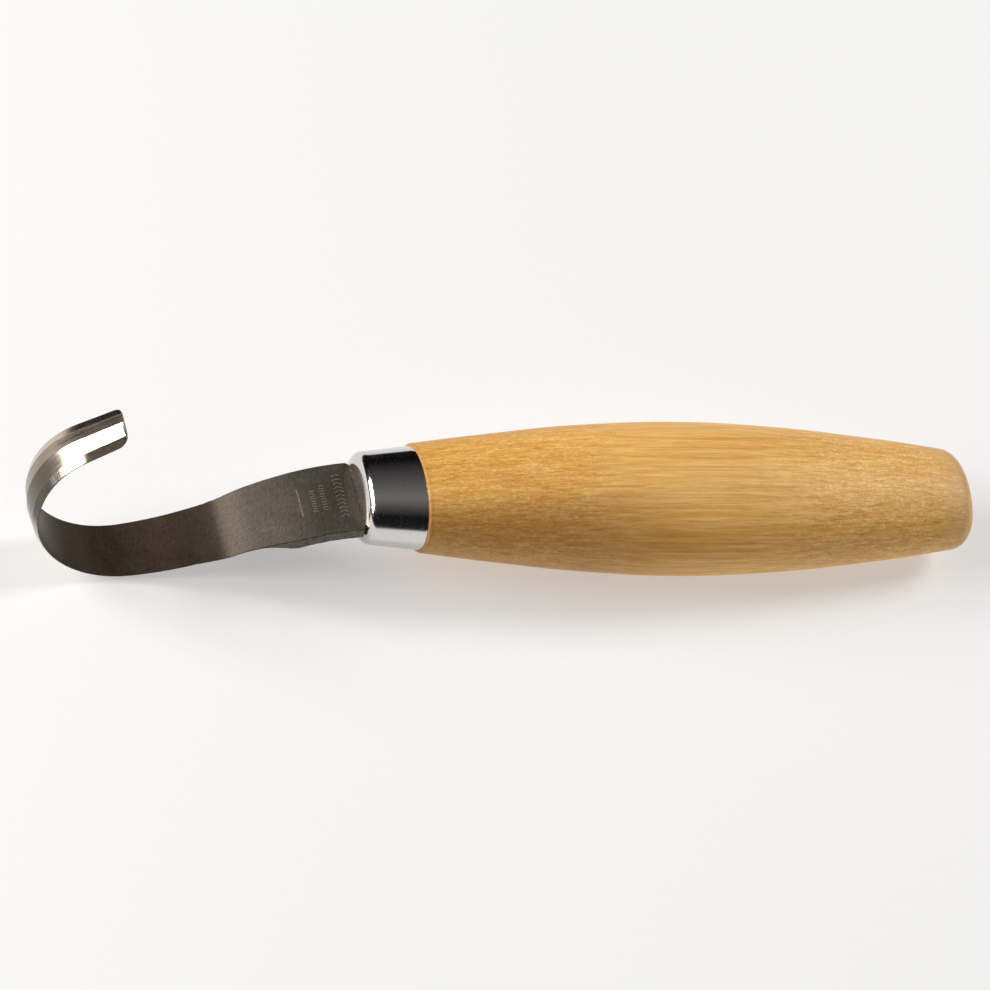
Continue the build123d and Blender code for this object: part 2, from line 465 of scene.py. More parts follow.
def satin_steel(steel):
    """The strip's rolled and tumbled face, with fine slanting lines."""
    material, tree, shader = new_material("satin_steel")
    at = strip_coordinates(tree)
    slanting = {"Vector": at, "Along": 0.9, "Across": 7.0, "Turn": radians(52)}
    lines = use_group(tree, "Brush lines", slanting).outputs["Lines"]
    touch = use_group(tree, "Handling", {"Vector": at, "Size": 0.16, "Pit size": 3.2})
    grain = speckle(tree, at, 4.5, 3.0, 0.65)
    colour = blend_colour(tree, rise(tree, lines, 0.35, 0.65), tint(steel, 0.55), tint(steel, 1.15))
    colour = blend_colour(tree, rise(tree, grain, 0.40, 0.62, 0.0, 0.6), colour, tint(steel, 0.55))
    pits = calc(tree, "MULTIPLY", touch.outputs["Pits"], 0.4)
    colour = blend_colour(tree, pits, colour, tint(steel, 0.5))
    # Browner towards the hook. Painted shade dims the sheen on a stretch before the bend, and painted shade
    # is darkest inside the bend
    parts = node(tree, "ShaderNodeSeparateXYZ", {0: at})
    along = calc(tree, "MULTIPLY_ADD", speckle(tree, at, 0.25, 3.0, 0.6), 4.0, parts.outputs[0])
    for share, factor in (
        (rise(tree, along, 16.0, 34.0), (0.74, 0.63, 0.52)),
        (band(tree, along, 13.0, 20.0, 27.0, 37.0), (0.48, 0.48, 0.49)),
        (band(tree, along, 39.0, 48.0, 68.0, 74.0), (0.24, 0.23, 0.23)),
    ):
        colour = blend_colour(tree, share, colour, factor, "MULTIPLY")
    rough = calc(tree, "MULTIPLY_ADD", touch.outputs["Smudge"], 0.04, 0.35)
    rough = calc(tree, "MULTIPLY_ADD", lines, 0.10, rough)
    height = calc(tree, "ADD", lines, calc(tree, "MULTIPLY", grain, 0.8))
    feed_metal(tree, shader, colour, rough, height, 0.35)
    return material


def sheared_steel(steel):
    """The strip's thick sides, torn by the shear, with bright nicks."""
    material, tree, shader = new_material("sheared_steel")
    at = strip_coordinates(tree)
    torn = speckle(tree, stretch(tree, at, (1.0, 2.6, 1.0)), 1.1, 5.0, 0.7, 0.6)
    drawn_out = stretch(tree, at, (0.7, 2.0, 1.0))
    nicks = use_group(tree, "Handling", {"Vector": drawn_out, "Size": 0.5, "Pit size": 1.3})
    colour = blend_colour(tree, rise(tree, torn, 0.3, 0.7), tint(steel, 0.14), tint(steel, 0.42))
    bright = calc(tree, "MULTIPLY", nicks.outputs["Pits"], 0.6)
    colour = blend_colour(tree, bright, colour, tint(steel, 1.0))
    rough = rise(tree, torn, 0.2, 0.8, 0.55, 0.32)
    feed_metal(tree, shader, colour, rough, torn, 0.8, 0.00012, 0.9)
    return material


def ground_finish(name, steel, ruling, tones, wander, roughness, strength, painted_light):
    """Ground steel. Ruling is the lines' (along, across, turn); roughness is (gain, base, smudge)."""
    material, tree, shader = new_material(name)
    at = strip_coordinates(tree)
    along, across, turn = ruling
    values = {"Vector": at, "Along": along, "Across": across, "Turn": radians(turn)}
    lines = use_group(tree, "Brush lines", values)
    touch = use_group(tree, "Handling", {"Vector": at, "Size": 0.2, "Pit size": 3.0})
    dark, light = (tint(steel, tone) for tone in tones)
    colour = blend_colour(tree, rise(tree, lines.outputs["Lines"], 0.3, 0.7), dark, light)
    parts = node(tree, "ShaderNodeSeparateXYZ", {0: at})
    distance = calc(tree, "MULTIPLY_ADD", lines.outputs["Broad"], wander, parts.outputs[0])
    # Painted shade and painted highlight, multiplied into the colour
    for share, factor in painted_light(tree, distance, parts.outputs[1]):
        colour = blend_colour(tree, share, colour, factor, "MULTIPLY")
    gain, base, smudge = roughness
    rough = calc(tree, "MULTIPLY_ADD", lines.outputs["Broad"], gain, base)
    rough = calc(tree, "MULTIPLY_ADD", touch.outputs["Smudge"], smudge, rough)
    feed_metal(tree, shader, colour, rough, lines.outputs["Lines"], strength)
    return material


def bevel_painted_shade(tree, along, across):
    """Painted shade: the near bevel is darker across the bend and at the tip."""
    near = rise(tree, across, 0.0, -1.0)
    bend = band(tree, along, 63.0, 68.0, 75.0, 78.5)
    tip = rise(tree, along, 82.5, 84.0)
    return (
        (calc(tree, "MULTIPLY", near, bend), (0.20, 0.20, 0.21)),
        (calc(tree, "MULTIPLY", near, tip), (0.10, 0.095, 0.09)),
    )


def facet_painted_light(tree, along, across):
    """Painted shade and highlight: both facets are darker across the bend, the near one more, and the far one
    is lighter at the tip.
    """
    near = rise(tree, across, 0.6, 0.2)
    far = rise(tree, across, 0.2, 0.6)
    bend = band(tree, along, 62.0, 68.0, 76.5, 82.0)
    tip = rise(tree, along, 80.0, 84.0)
    return (
        (calc(tree, "MULTIPLY", near, bend), (0.27, 0.25, 0.23)),
        (calc(tree, "MULTIPLY", far, bend), (0.60, 0.57, 0.54)),
        (calc(tree, "MULTIPLY", far, tip), (1.50, 1.46, 1.40)),
    )


def ground_steel(steel):
    """The bevels, with lines square to the cutting edge."""
    ruling, roughness = (5.0, 0.35, 4), (0.12, 0.10, 0.05)
    return ground_finish("ground_steel", steel, ruling, (1.05, 1.75), 2.0, roughness, 0.45, bevel_painted_shade)


def brushed_steel(steel):
    """The main facets, with lines along the strip."""
    ruling, roughness = (0.12, 6.0, -2), (0.20, 0.14, 0.06)
    return ground_finish("brushed_steel", steel, ruling, (0.95, 1.50), 3.0, roughness, 0.3, facet_painted_light)


def struck_steel(steel):
    """The struck marks' own steel, grainy and bright."""
    material, tree, shader = new_material("struck_steel")
    grain = speckle(tree, knife_coordinates(tree), 3.0, 3.0, 0.6)
    colour = blend_colour(tree, rise(tree, grain, 0.3, 0.7), tint(steel, 1.0), (0.93, 0.88, 0.80))
    feed_metal(tree, shader, colour, rise(tree, grain, 0.2, 0.8, 0.6, 0.4), grain, 0.3)
    return material


def plated_metal(plate):
    """The ferrule's plate: bright, with a fine orange peel, light specks and faint lines."""
    material, tree, shader = new_material("plated_metal")
    at = knife_coordinates(tree)
    touch = use_group(tree, "Handling", {"Vector": at, "Size": 0.25, "Pit size": 5.0})
    lines = use_group(tree, "Brush lines", {"Vector": at, "Along": 0.3, "Across": 4.0, "Turn": radians(20)})
    specks = calc(tree, "MULTIPLY", touch.outputs["Pits"], 0.5)
    colour = blend_colour(tree, specks, plate, tint(plate, 1.35))
    smudges = calc(tree, "MULTIPLY", touch.outputs["Smudge"], 0.12)
    colour = blend_colour(tree, smudges, colour, tint(plate, 0.82))
    rough = calc(tree, "MULTIPLY_ADD", touch.outputs["Smudge"], 0.05, 0.09)
    rough = calc(tree, "MULTIPLY_ADD", touch.outputs["Pits"], 0.25, rough)
    faint = calc(tree, "MULTIPLY", lines.outputs["Lines"], 0.03)
    peel = calc(tree, "ADD", speckle(tree, at, 0.9, 2.0, 0.5), faint)
    feed_metal(tree, shader, colour, rough, peel, 0.10, 0.00006)
    return material


def oiled_birch(wood):
    """Birch under oil: growth lines along the belly, and flecks where the turning cut the fibres."""
    material, tree, shader = new_material("oiled_birch")
    at = knife_coordinates(tree)
    rings = use_group(tree, "Growth rings", {"Vector": at, "Spacing": 1.45, "Waviness": 0.22}).outputs[0]
    touch = use_group(tree, "Handling", {"Vector": at, "Size": 0.09, "Pit size": 1.6})
    parts = node(tree, "ShaderNodeSeparateXYZ", {0: at})
    along, across, up = parts.outputs[0], parts.outputs[1], parts.outputs[2]
    # 0 in the barrel's middle, where the fibres lie in the surface, and 1 towards its two ends
    off_middle = calc(tree, "ABSOLUTE", calc(tree, "SUBTRACT", along, 58.0))
    wander = speckle(tree, at, 0.12, 2.0, 0.5)
    cut_fibres = rise(tree, calc(tree, "MULTIPLY_ADD", wander, 16.0, off_middle), 14.0, 38.0)
    fibre = speckle(tree, stretch(tree, at, (0.07, 2.6, 2.6)), 1.0, 4.0, 0.7)
    streak = speckle(tree, stretch(tree, at, (0.05, 1.5, 1.5)), 1.0, 3.0, 0.6)
    dashes = speckle(tree, stretch(tree, at, (0.45, 3.4, 3.4)), 1.0, 3.0, 0.6)
    fleck = speckle(tree, stretch(tree, at, (1.3, 2.6, 2.6)), 1.0, 2.0, 0.6, 1.2)
    cloud = speckle(tree, stretch(tree, at, (0.03, 0.09, 0.09)), 1.0, 3.0, 0.5)
    # Orange at the ferrule, paler towards the butt
    pale = (wood[0] * 1.19, wood[1] * 1.28, wood[2] * 1.65)
    toward_butt = rise(tree, calc(tree, "MULTIPLY_ADD", cloud, 20.0, along), 30.0, 75.0)
    colour = blend_colour(tree, toward_butt, wood, pale)
    colour = blend_colour(tree, rise(tree, cloud, 0.3, 0.7), colour, (0.90, 0.86, 0.80), "MULTIPLY")
    # Two darker streaks along the barrel, at two places round it; the one low on the near side is painted
    # shade
    turn = calc(tree, "ARCTAN2", calc(tree, "MULTIPLY", up, BARREL_OVAL), across)
    sway = speckle(tree, stretch(tree, at, (0.04, 0.1, 0.1)), 1.0, 3.0)
    turn = calc(tree, "MULTIPLY_ADD", sway, 0.35, turn)
    low = band(tree, turn, 2.52, 2.78, 2.98, 3.25)
    high = band(tree, turn, 0.55, 0.75, 0.9, 1.2)
    high = calc(tree, "MULTIPLY", high, rise(tree, along, 30.0, 60.0, 1.0, 0.35))
    streaks_and_painted_shade = calc(tree, "MULTIPLY", calc(tree, "MAXIMUM", low, high), 0.45)
    # Growth lines show in the middle, and dashes and pale flecks towards the two ends
    ring = calc(tree, "MULTIPLY", rings, rise(tree, cut_fibres, 0.0, 1.0, 0.55, 0.12))
    ring = calc(tree, "MULTIPLY", ring, rise(tree, streak, 0.25, 0.6, 0.45, 1.0))
    dash = rise(tree, cut_fibres, 0.0, 1.0, 0.30, 0.70)
    dash = calc(tree, "MULTIPLY", rise(tree, dashes, 0.52, 0.62), dash)
    pale_fleck = rise(tree, cut_fibres, 0.0, 1.0, 0.10, 0.95)
    pale_fleck = calc(tree, "MULTIPLY", rise(tree, fleck, 0.50, 0.60), pale_fleck)
    # Painted shade: darker on the near side of the front half
    near_front_painted_shade = rise(tree, along, 32.0, 62.0, 1.0, 0.0)
    near_front_painted_shade = calc(tree, "MULTIPLY", rise(tree, across, -4.5, -9.0), near_front_painted_shade)
    for share, factor in (
        (rise(tree, streak, 0.40, 0.62), (0.93, 0.84, 0.64)),
        (rise(tree, fibre, 0.38, 0.62, 0.0, 0.9), (1.20, 1.26, 1.45)),
        (streaks_and_painted_shade, (0.84, 0.74, 0.64)),
        (ring, (0.78, 0.60, 0.40)),
        (dash, (0.84, 0.66, 0.42)),
        (pale_fleck, (1.20, 1.32, 1.75)),
        (near_front_painted_shade, (0.70, 0.68, 0.72)),
    ):
        colour = blend_colour(tree, share, colour, factor, "MULTIPLY")
    # Paler on the butt's rounded end
    end_grain = rise(tree, along, 99.0, 107.0)
    colour = blend_colour(tree, calc(tree, "MULTIPLY", end_grain, 0.5), colour, (0.66, 0.42, 0.20))
    # Darker in the joint at the ferrule
    joint = rise(tree, along, 10.0, 10.9, 0.45, 0.0)
    colour = blend_colour(tree, joint, colour, (0.45, 0.36, 0.28), "MULTIPLY")
    tree.links.new(colour, shader.inputs["Base Color"])
    rough = calc(tree, "MULTIPLY_ADD", fibre, 0.16, 0.40)
    rough = calc(tree, "MULTIPLY_ADD", touch.outputs["Smudge"], 0.06, rough)
    tree.links.new(rough, shader.inputs["Roughness"])
    shader.inputs["Specular IOR Level"].default_value = 0.38
    shader.inputs["Coat Weight"].default_value = 0.06
    shader.inputs["Coat Roughness"].default_value = 0.35
    height = calc(tree, "MULTIPLY_ADD", fleck, 0.7, calc(tree, "ADD", fibre, dashes))
    bump(tree, shader, height, 0.55, 0.00010)
    return material


def cured_adhesive():
    """Cured adhesive, grey-brown with dust in its skin."""
    material, tree, shader = new_material("cured_adhesive")
    at = knife_coordinates(tree)
    grain = speckle(tree, at, 2.2, 4.0, 0.6)
    colour = blend_colour(tree, rise(tree, grain, 0.3, 0.7), (0.030, 0.024, 0.018), (0.16, 0.125, 0.09))
    tree.links.new(colour, shader.inputs["Base Color"])
    tree.links.new(rise(tree, grain, 0.2, 0.8, 0.75, 0.5), shader.inputs["Roughness"])
    shader.inputs["Specular IOR Level"].default_value = 0.25
    bump(tree, shader, grain, 0.4, 0.00006)
    return material


# ------------------------------------------------------------------ mesh helpers


def add_piece(name, mesh, materials, replaced=None):
    """Links a finished mesh, already in the frame, to the knife's body, and hides the imported part that it
    replaces.
    """
    for material in materials:
        mesh.materials.append(material)
    piece = bpy.data.objects.new(name, mesh)
    bpy.context.scene.collection.objects.link(piece)
    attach(piece, BODY)
    if replaced:
        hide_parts(replaced)
    return piece


def mesh_of_rings(name, rings, closed=False):
    """Quads between rings of points that have the same number. Flat caps close both ends."""
    count = len(rings[0])
    points = [point for ring in rings for point in ring]
    faces = []
    for i in range(len(rings) - (0 if closed else 1)):
        this, following = i * count, (i + 1) % len(rings) * count
        for j in range(count):
            k = (j + 1) % count
            faces.append((this + j, this + k, following + k, following + j))
    if not closed:
        faces.append(tuple(reversed(range(count))))
        faces.append(tuple(range(len(points) - count, len(points))))
    mesh = bpy.data.meshes.new(name)
    mesh.from_pydata(points, [], faces)
    return mesh


def tidy_mesh(mesh, merge=1e-4, sharp=None):
    """Merges doubled points, turns the faces outwards and shades them smooth, in millimetres."""
    work = bmesh.new()
    work.from_mesh(mesh)
    bmesh.ops.remove_doubles(work, verts=work.verts, dist=merge)
    bmesh.ops.recalc_face_normals(work, faces=work.faces)
    for face in work.faces:
        face.smooth = True
    if sharp is not None:
        for edge in work.edges:
            if len(edge.link_faces) == 2 and edge.calc_face_angle(0.0) > sharp:
                edge.smooth = False
    work.to_mesh(mesh)
    work.free()


def place(mesh):
    """Moves a mesh from the knife's own axes into the frame."""
    mesh.transform(KNIFE)
    mesh.update()


# ------------------------------------------------------------------ pieces


class BladeSection:
    """Outline of the strip at a distance along it."""

    CHAMFER = 0.10
    # Radii of the two corners at the ferrule
    FAR_SHOULDER = 0.7
    NEAR_SHOULDER = 0.35

    def __init__(self, settings, distance):
        self.s = settings
        self.distance = distance
        self.far = smooth_between(FAR_EDGE, distance)
        self.near = smooth_between(NEAR_EDGE, distance, 0.5)
        self.far_ground = ease(distance, *settings.far_grind)
        self.near_ground = ease(distance, *settings.near_grind)
        self.inner = -settings.thickness / 2
        to_tip = STRIP_LENGTH - distance
        far_cut = max(corner_cut(to_tip, settings.far_tip_radius), corner_cut(distance, self.FAR_SHOULDER))
        near_cut = max(corner_cut(to_tip, settings.near_tip_radius), corner_cut(distance, self.NEAR_SHOULDER))
        self.far_end = self.far - far_cut
        self.near_end = self.near - near_cut
        self.ridge = self.far - (self.far + self.near) * settings.ridge_share
        self.top = self.inner + smooth_between(RIDGE, distance, 3.0)

    def outer(self, across):
        """Height of the outer face at a place across the strip."""
        if across > self.ridge:
            half, bevel, ground, side = self.far, self.s.far_bevel, self.far_ground, 1
        else:
            half, bevel, ground, side = self.near, self.s.near_bevel, self.near_ground, -1
        reach = across * side
        ridge = self.ridge * side
        border = half - bevel
        border_height = self.top - self.s.facet_drop * ground
        edge_height = self.top + (self.inner + self.s.edge - self.top) * ground
        if reach > border:
            return border_height + (edge_height - border_height) * (reach - border) / bevel
        share = (reach - ridge) / (border - ridge)
        hollow = self.s.facet_hollow * ground * 4 * share * (1 - share)
        return self.top + (border_height - self.top) * share - hollow

    def corners(self):
        """Corners from the inner face's near side, round by the far edge, and the finish after each."""
        far, near, inner = self.far_end, -self.near_end, self.inner
        chamfer = min(self.CHAMFER, 0.3 * (self.outer(far) - inner), 0.3 * (self.outer(near) - inner))
        far_bevel = BEVEL if self.distance >= self.s.far_grind[0] else SATIN
        near_bevel = BEVEL if self.distance >= self.s.near_grind[0] else SATIN
        facet = FACET if self.distance >= self.s.far_grind[0] else SATIN

        def on_face(across):
            held = min(max(across, near + chamfer), far - chamfer)
            return (held, self.outer(held))

        return [
            ((near + chamfer, inner), SATIN, 12),
            ((far - chamfer, inner), SHEARED, 1),
            ((far, inner + chamfer), SHEARED, 3),
            ((far, self.outer(far) - chamfer), SHEARED, 1),
            (on_face(far - chamfer), far_bevel, 3),
            (on_face(self.far - self.s.far_bevel), SATIN, 1),
            (on_face(self.far - self.s.far_bevel - self.s.border_line), facet, 3),
            (on_face(self.ridge), facet, 6),
            (on_face(self.s.near_bevel - self.near), near_bevel, 3),
            (on_face(near + chamfer), SHEARED, 1),
            ((near, self.outer(near) - chamfer), SHEARED, 3),
            ((near, inner + chamfer), SHEARED, 1),
        ]

    def ring(self):
        """Points round the outline as (across, outward, finish after it, is a corner)."""
        corners = self.corners()
        points = []
        for index, ((across, outward), finish, steps) in enumerate(corners):
            after = corners[(index + 1) % len(corners)][0]
            for step in range(steps):
                share = step / steps
                spot = [start + (end - start) * share for start, end in zip((across, outward), after)]
                points.append((*spot, finish, step == 0))
        return points


def blade_stations():
    """Distances along the strip, closer together at its rounded corners."""
    stations = [0.0, 0.05, 0.12, 0.22, 0.35, 0.5, 0.7]
    regular = 0.4
    tip_zone = 2.1
    count = ceil((STRIP_LENGTH - tip_zone - stations[-1]) / regular)
    start = stations[-1]
    stations += [start + (STRIP_LENGTH - tip_zone - start) * (i + 1) / count for i in range(count)]
    steps = 22
    stations += [STRIP_LENGTH - tip_zone * cos(pi / 2 * (i + 1) / steps) for i in range(steps)]
    return stations


def torn_edge(distance, across, outward, settings):
    """Small uneven places where the strip's sides were sheared and never ground."""
    share = 1.0 - ease(distance, *(settings.far_grind if across > 0 else settings.near_grind))
    where = Vector((distance * 0.9, across * 0.2, outward * 1.4))
    return 0.10 * share * noise.noise(where) + 0.05 * share * noise.noise(where * 3.1)


def blade_mesh(settings):
    """The steel strip, ground along both edges of the hook, and its tang."""
    rings, finishes, marks = [], [], []
    stations = blade_stations()
    for distance in stations:
        section = BladeSection(settings, distance).ring()
        ring = []
        flat_reach = -section[0][0]
        for across, outward, finish, corner in section:
            if abs(across) > flat_reach and finish == SHEARED:
                across += torn_edge(distance, across, outward, settings) * (1 if across > 0 else -1)
            ring.append(strip_point(distance, across, outward))
        rings.append(ring)
        finishes.append([point[2] for point in section])
        marks.append([point[:2] for point in section])
    mesh = mesh_of_rings("blade", rings)
    count = len(rings[0])
    layer = mesh.uv_layers.new(name="strip")
    # The map holds the distance along the strip and the place across it. On a sheared side the
    # height is added to the place, and the end caps lie beyond the strip's own stretch of the map.
    cap_at = 0.95
    for polygon in mesh.polygons:
        i, j = divmod(polygon.index, count)
        cap = i >= len(rings) - 1
        finish = SHEARED if cap else finishes[i][j]
        polygon.material_index = finish
        for loop in polygon.loop_indices:
            a, b = divmod(mesh.loops[loop].vertex_index, count)
            across, outward = marks[a][b]
            side = outward if finish == SHEARED else 0.0
            spot = (stations[a] / MAP_SIZE, (across + side + MAP_SHIFT) / MAP_SIZE)
            if cap:
                spot = (cap_at + outward / MAP_SIZE, across / MAP_SIZE)
            layer.data[loop].uv = spot
    mesh.polygons.foreach_set("use_smooth", [True] * len(mesh.polygons))
    sharp = mesh.attributes.new("sharp_edge", "BOOLEAN", "EDGE")
    crisp = {j for j, point in enumerate(section) if point[3]}
    for edge in mesh.edges:
        a, b = edge.vertices
        if a % count == b % count and a % count in crisp:
            sharp.data[edge.index].value = True
        if a < count and b < count or min(a, b) >= len(mesh.vertices) - count:
            sharp.data[edge.index].value = True
    work = bmesh.new()
    work.from_mesh(mesh)
    bmesh.ops.remove_doubles(work, verts=work.verts, dist=1e-4)
    # The tang, narrowed from the same strip, inside the handle
    thick = settings.thickness / 2
    ends = []
    for x, half in TANG:
        corners = ((-half, -thick), (half, -thick), (half, thick), (-half, thick))
        ends.append([work.verts.new((x, y, z)) for y, z in corners])
    first, last = ends
    made = [work.faces.new(first), work.faces.new(list(reversed(last)))]
    for k in range(4):
        n = (k + 1) % 4
        made.append(work.faces.new((first[n], first[k], last[k], last[n])))
    for face in made:
        face.material_index = SATIN
    bmesh.ops.recalc_face_normals(work, faces=work.faces)
    work.to_mesh(mesh)
    work.free()
    return mesh


class HOOKKNIFE_OT_blade(bpy.types.Operator):
    """Make the bent steel blade with its ground bevels and its tang"""

    bl_idname = "hookknife.blade"
    bl_label = "Blade"

    def execute(self, context):
        settings = context.scene.hookknife_blade
        mesh = blade_mesh(settings)
        place(mesh)
        steel = tuple(settings.steel)
        finishes = [satin_steel(steel), sheared_steel(steel), ground_steel(steel), brushed_steel(steel)]
        add_piece("blade", mesh, finishes, "hook_blade")
        return {"FINISHED"}


def set_input(modifier, tree, name, value):
    """Sets a modifier's input by its socket's identifier."""
    for item in tree.interface.items_tree:
        if item.item_type == "SOCKET" and item.in_out == "INPUT" and item.name == name:
            modifier[item.identifier] = value
            return
    raise KeyError(name)


def grow(name, tree, values):
    """Runs a geometry tree on an empty mesh and returns the result as a plain mesh."""
    host = bpy.data.objects.new(name + "_host", bpy.data.meshes.new(name + "_host"))
    bpy.context.scene.collection.objects.link(host)
    modifier = host.modifiers.new(name, "NODES")
    modifier.node_group = tree
    for key, value in values.items():
        set_input(modifier, tree, key, value)
    depsgraph = bpy.context.evaluated_depsgraph_get()
    mesh = bpy.data.meshes.new_from_object(host.evaluated_get(depsgraph), depsgraph=depsgraph)
    host.modifiers.clear()
    bpy.data.objects.remove(host)
    mesh.name = name
    return mesh


# The barrel's outline: share of the length, and share of the greatest half width
BARREL_OUTLINE = (
    (0.0, 0.70),
    (0.145, 0.832),
    (0.305, 0.950),
    (0.48, 1.0),
    (0.655, 0.944),
    (0.815, 0.826),
    (0.93, 0.713),
    (1.0, 0.629),
)


def turned_barrel_tree(material):
    """Geometry tree: an oval barrel turned along X, thin at both ends, with rounded rims."""
    tree, given, out = new_group(
        "Turned barrel",
        "GeometryNodeTree",
        {
            "Start": 9.9,
            "End": 108.0,
            "Half width": 14.3,
            "Oval": 1.36,
            "Front rim": 0.4,
            "Butt rim": 3.0,
            "Hand finish": 0.05,
            "Rings": 200,
            "Around": 160,
        },
        ("Geometry",),
    )
    start, end = given.outputs["Start"], given.outputs["End"]
    length = calc(tree, "SUBTRACT", end, start)
    around = calc(tree, "ADD", given.outputs["Around"], 1.0)
    values = {"Size X": 1.0, "Size Y": 1.0, "Vertices X": given.outputs["Rings"], "Vertices Y": around}
    grid = node(tree, "GeometryNodeMeshGrid", values)
    parts = node(tree, "ShaderNodeSeparateXYZ", {0: tree.nodes.new("GeometryNodeInputPosition").outputs[0]})
    share = calc(tree, "ADD", parts.outputs[0], 0.5)
    # Rings lie closer together towards the two rims
    eased = calc(tree, "MULTIPLY_ADD", calc(tree, "COSINE", calc(tree, "MULTIPLY", share, pi)), -0.5, 0.5)
    along = calc(tree, "MULTIPLY_ADD", eased, length, start)
    outline = tree.nodes.new("ShaderNodeFloatCurve")
    curve = outline.mapping.curves[0]
    while len(curve.points) < len(BARREL_OUTLINE):
        curve.points.new(0.5, 0.5)
    for point, (a, b) in zip(curve.points, BARREL_OUTLINE):
        point.location = (a, b)
        point.handle_type = "AUTO"
    outline.mapping.update()
    tree.links.new(eased, outline.inputs["Value"])
    half = calc(tree, "MULTIPLY", outline.outputs[0], given.outputs["Half width"])

    def rim(distance, radius):
        """How far a rounded rim stands in."""
        gap = calc(tree, "MAXIMUM", calc(tree, "SUBTRACT", radius, distance), 0.0)
        gap_squared = calc(tree, "MULTIPLY", gap, gap)
        left = calc(tree, "SUBTRACT", calc(tree, "MULTIPLY", radius, radius), gap_squared)
        return calc(tree, "SUBTRACT", radius, calc(tree, "SQRT", calc(tree, "MAXIMUM", left, 0.0)))

    front = rim(calc(tree, "SUBTRACT", along, start), given.outputs["Front rim"])
    butt = rim(calc(tree, "SUBTRACT", end, along), given.outputs["Butt rim"])
    cut = calc(tree, "ADD", front, butt)
    turn = calc(tree, "MULTIPLY", calc(tree, "ADD", parts.outputs[1], 0.5), 2 * pi)
    wide = calc(tree, "SUBTRACT", half, cut)
    high = calc(tree, "SUBTRACT", calc(tree, "DIVIDE", half, given.outputs["Oval"]), cut)
    cosine, sine = calc(tree, "COSINE", turn), calc(tree, "SINE", turn)
    at = vector_of(tree, along, calc(tree, "MULTIPLY", wide, cosine), calc(tree, "MULTIPLY", high, sine))
    values = {"Vector": at, "Scale": 0.09, "Detail": 1.0}
    unevenness = node(tree, "ShaderNodeTexNoise", values).outputs["Fac"]
    inset = calc(tree, "MULTIPLY", calc(tree, "SUBTRACT", unevenness, 1.0), given.outputs["Hand finish"])
    radial = vector_of(tree, 0.0, cosine, sine)
    shift = node(tree, "ShaderNodeVectorMath", {0: radial, "Scale": inset}, operation="SCALE")
    final = node(tree, "ShaderNodeVectorMath", {0: at, 1: shift.outputs[0]}, operation="ADD")
    moved = node(tree, "GeometryNodeSetPosition", {"Geometry": grid.outputs[0], "Position": final.outputs[0]})
    merged = node(tree, "GeometryNodeMergeByDistance", {"Geometry": moved.outputs[0], "Distance": 0.0005})
    real = node(tree, "GeometryNodeRealizeInstances", {"Geometry": merged.outputs[0]})
    finished = node(tree, "GeometryNodeSetMaterial", {"Geometry": real.outputs[0], "Material": material})
    tree.links.new(finished.outputs[0], out.inputs[0])
    return tree


class HOOKKNIFE_OT_handle(bpy.types.Operator):
    """Turn the oval birch barrel"""

    bl_idname = "hookknife.handle"
    bl_label = "Handle"

    def execute(self, context):
        settings = context.scene.hookknife_handle
        birch = oiled_birch(tuple(settings.wood))
        values = {
            "Start": settings.start,
            "End": BUTT_AT,
            "Half width": settings.half_width,
            "Oval": settings.oval,
            "Front rim": settings.front_rim,
            "Butt rim": settings.butt_rim,
            "Hand finish": settings.hand_finish,
            "Rings": settings.rings,
            "Around": settings.around,
        }
        mesh = grow("birch_handle", turned_barrel_tree(birch), values)
        # Close both ends and shade the barrel smooth
        work = bmesh.new()
        work.from_mesh(mesh)
        bmesh.ops.holes_fill(work, edges=[edge for edge in work.edges if edge.is_boundary])
        bmesh.ops.recalc_face_normals(work, faces=work.faces)
        for face in work.faces:
            face.smooth = True
            if len(face.verts) > 4:
                for edge in face.edges:
                    edge.smooth = False
        work.to_mesh(mesh)
        work.free()
        mesh.materials.clear()
        place(mesh)
        add_piece("birch_handle", mesh, [birch], "handle")
        return {"FINISHED"}


def oval_ring(x, half_width, oval, inset, around):
    """Points of an oval round the handle's axis, drawn in by an inset."""
    wide = half_width - inset
    high = half_width / oval - inset
    turns = [2 * pi * i / around for i in range(around)]
    return [Vector((x, wide * cos(t), high * sin(t))) for t in turns]


def slot_ring(x, half_length, half_height, around):
    """Points of a slot with rounded ends, in step with the ovals."""
    points = []
    for i in range(around):
        turn = 2 * pi * i / around
        along = half_length * copysign(abs(cos(turn)) ** 0.5, cos(turn))
        above = half_height * copysign(abs(sin(turn)) ** 0.5, sin(turn))
        points.append(Vector((x, along, above)))
    return points


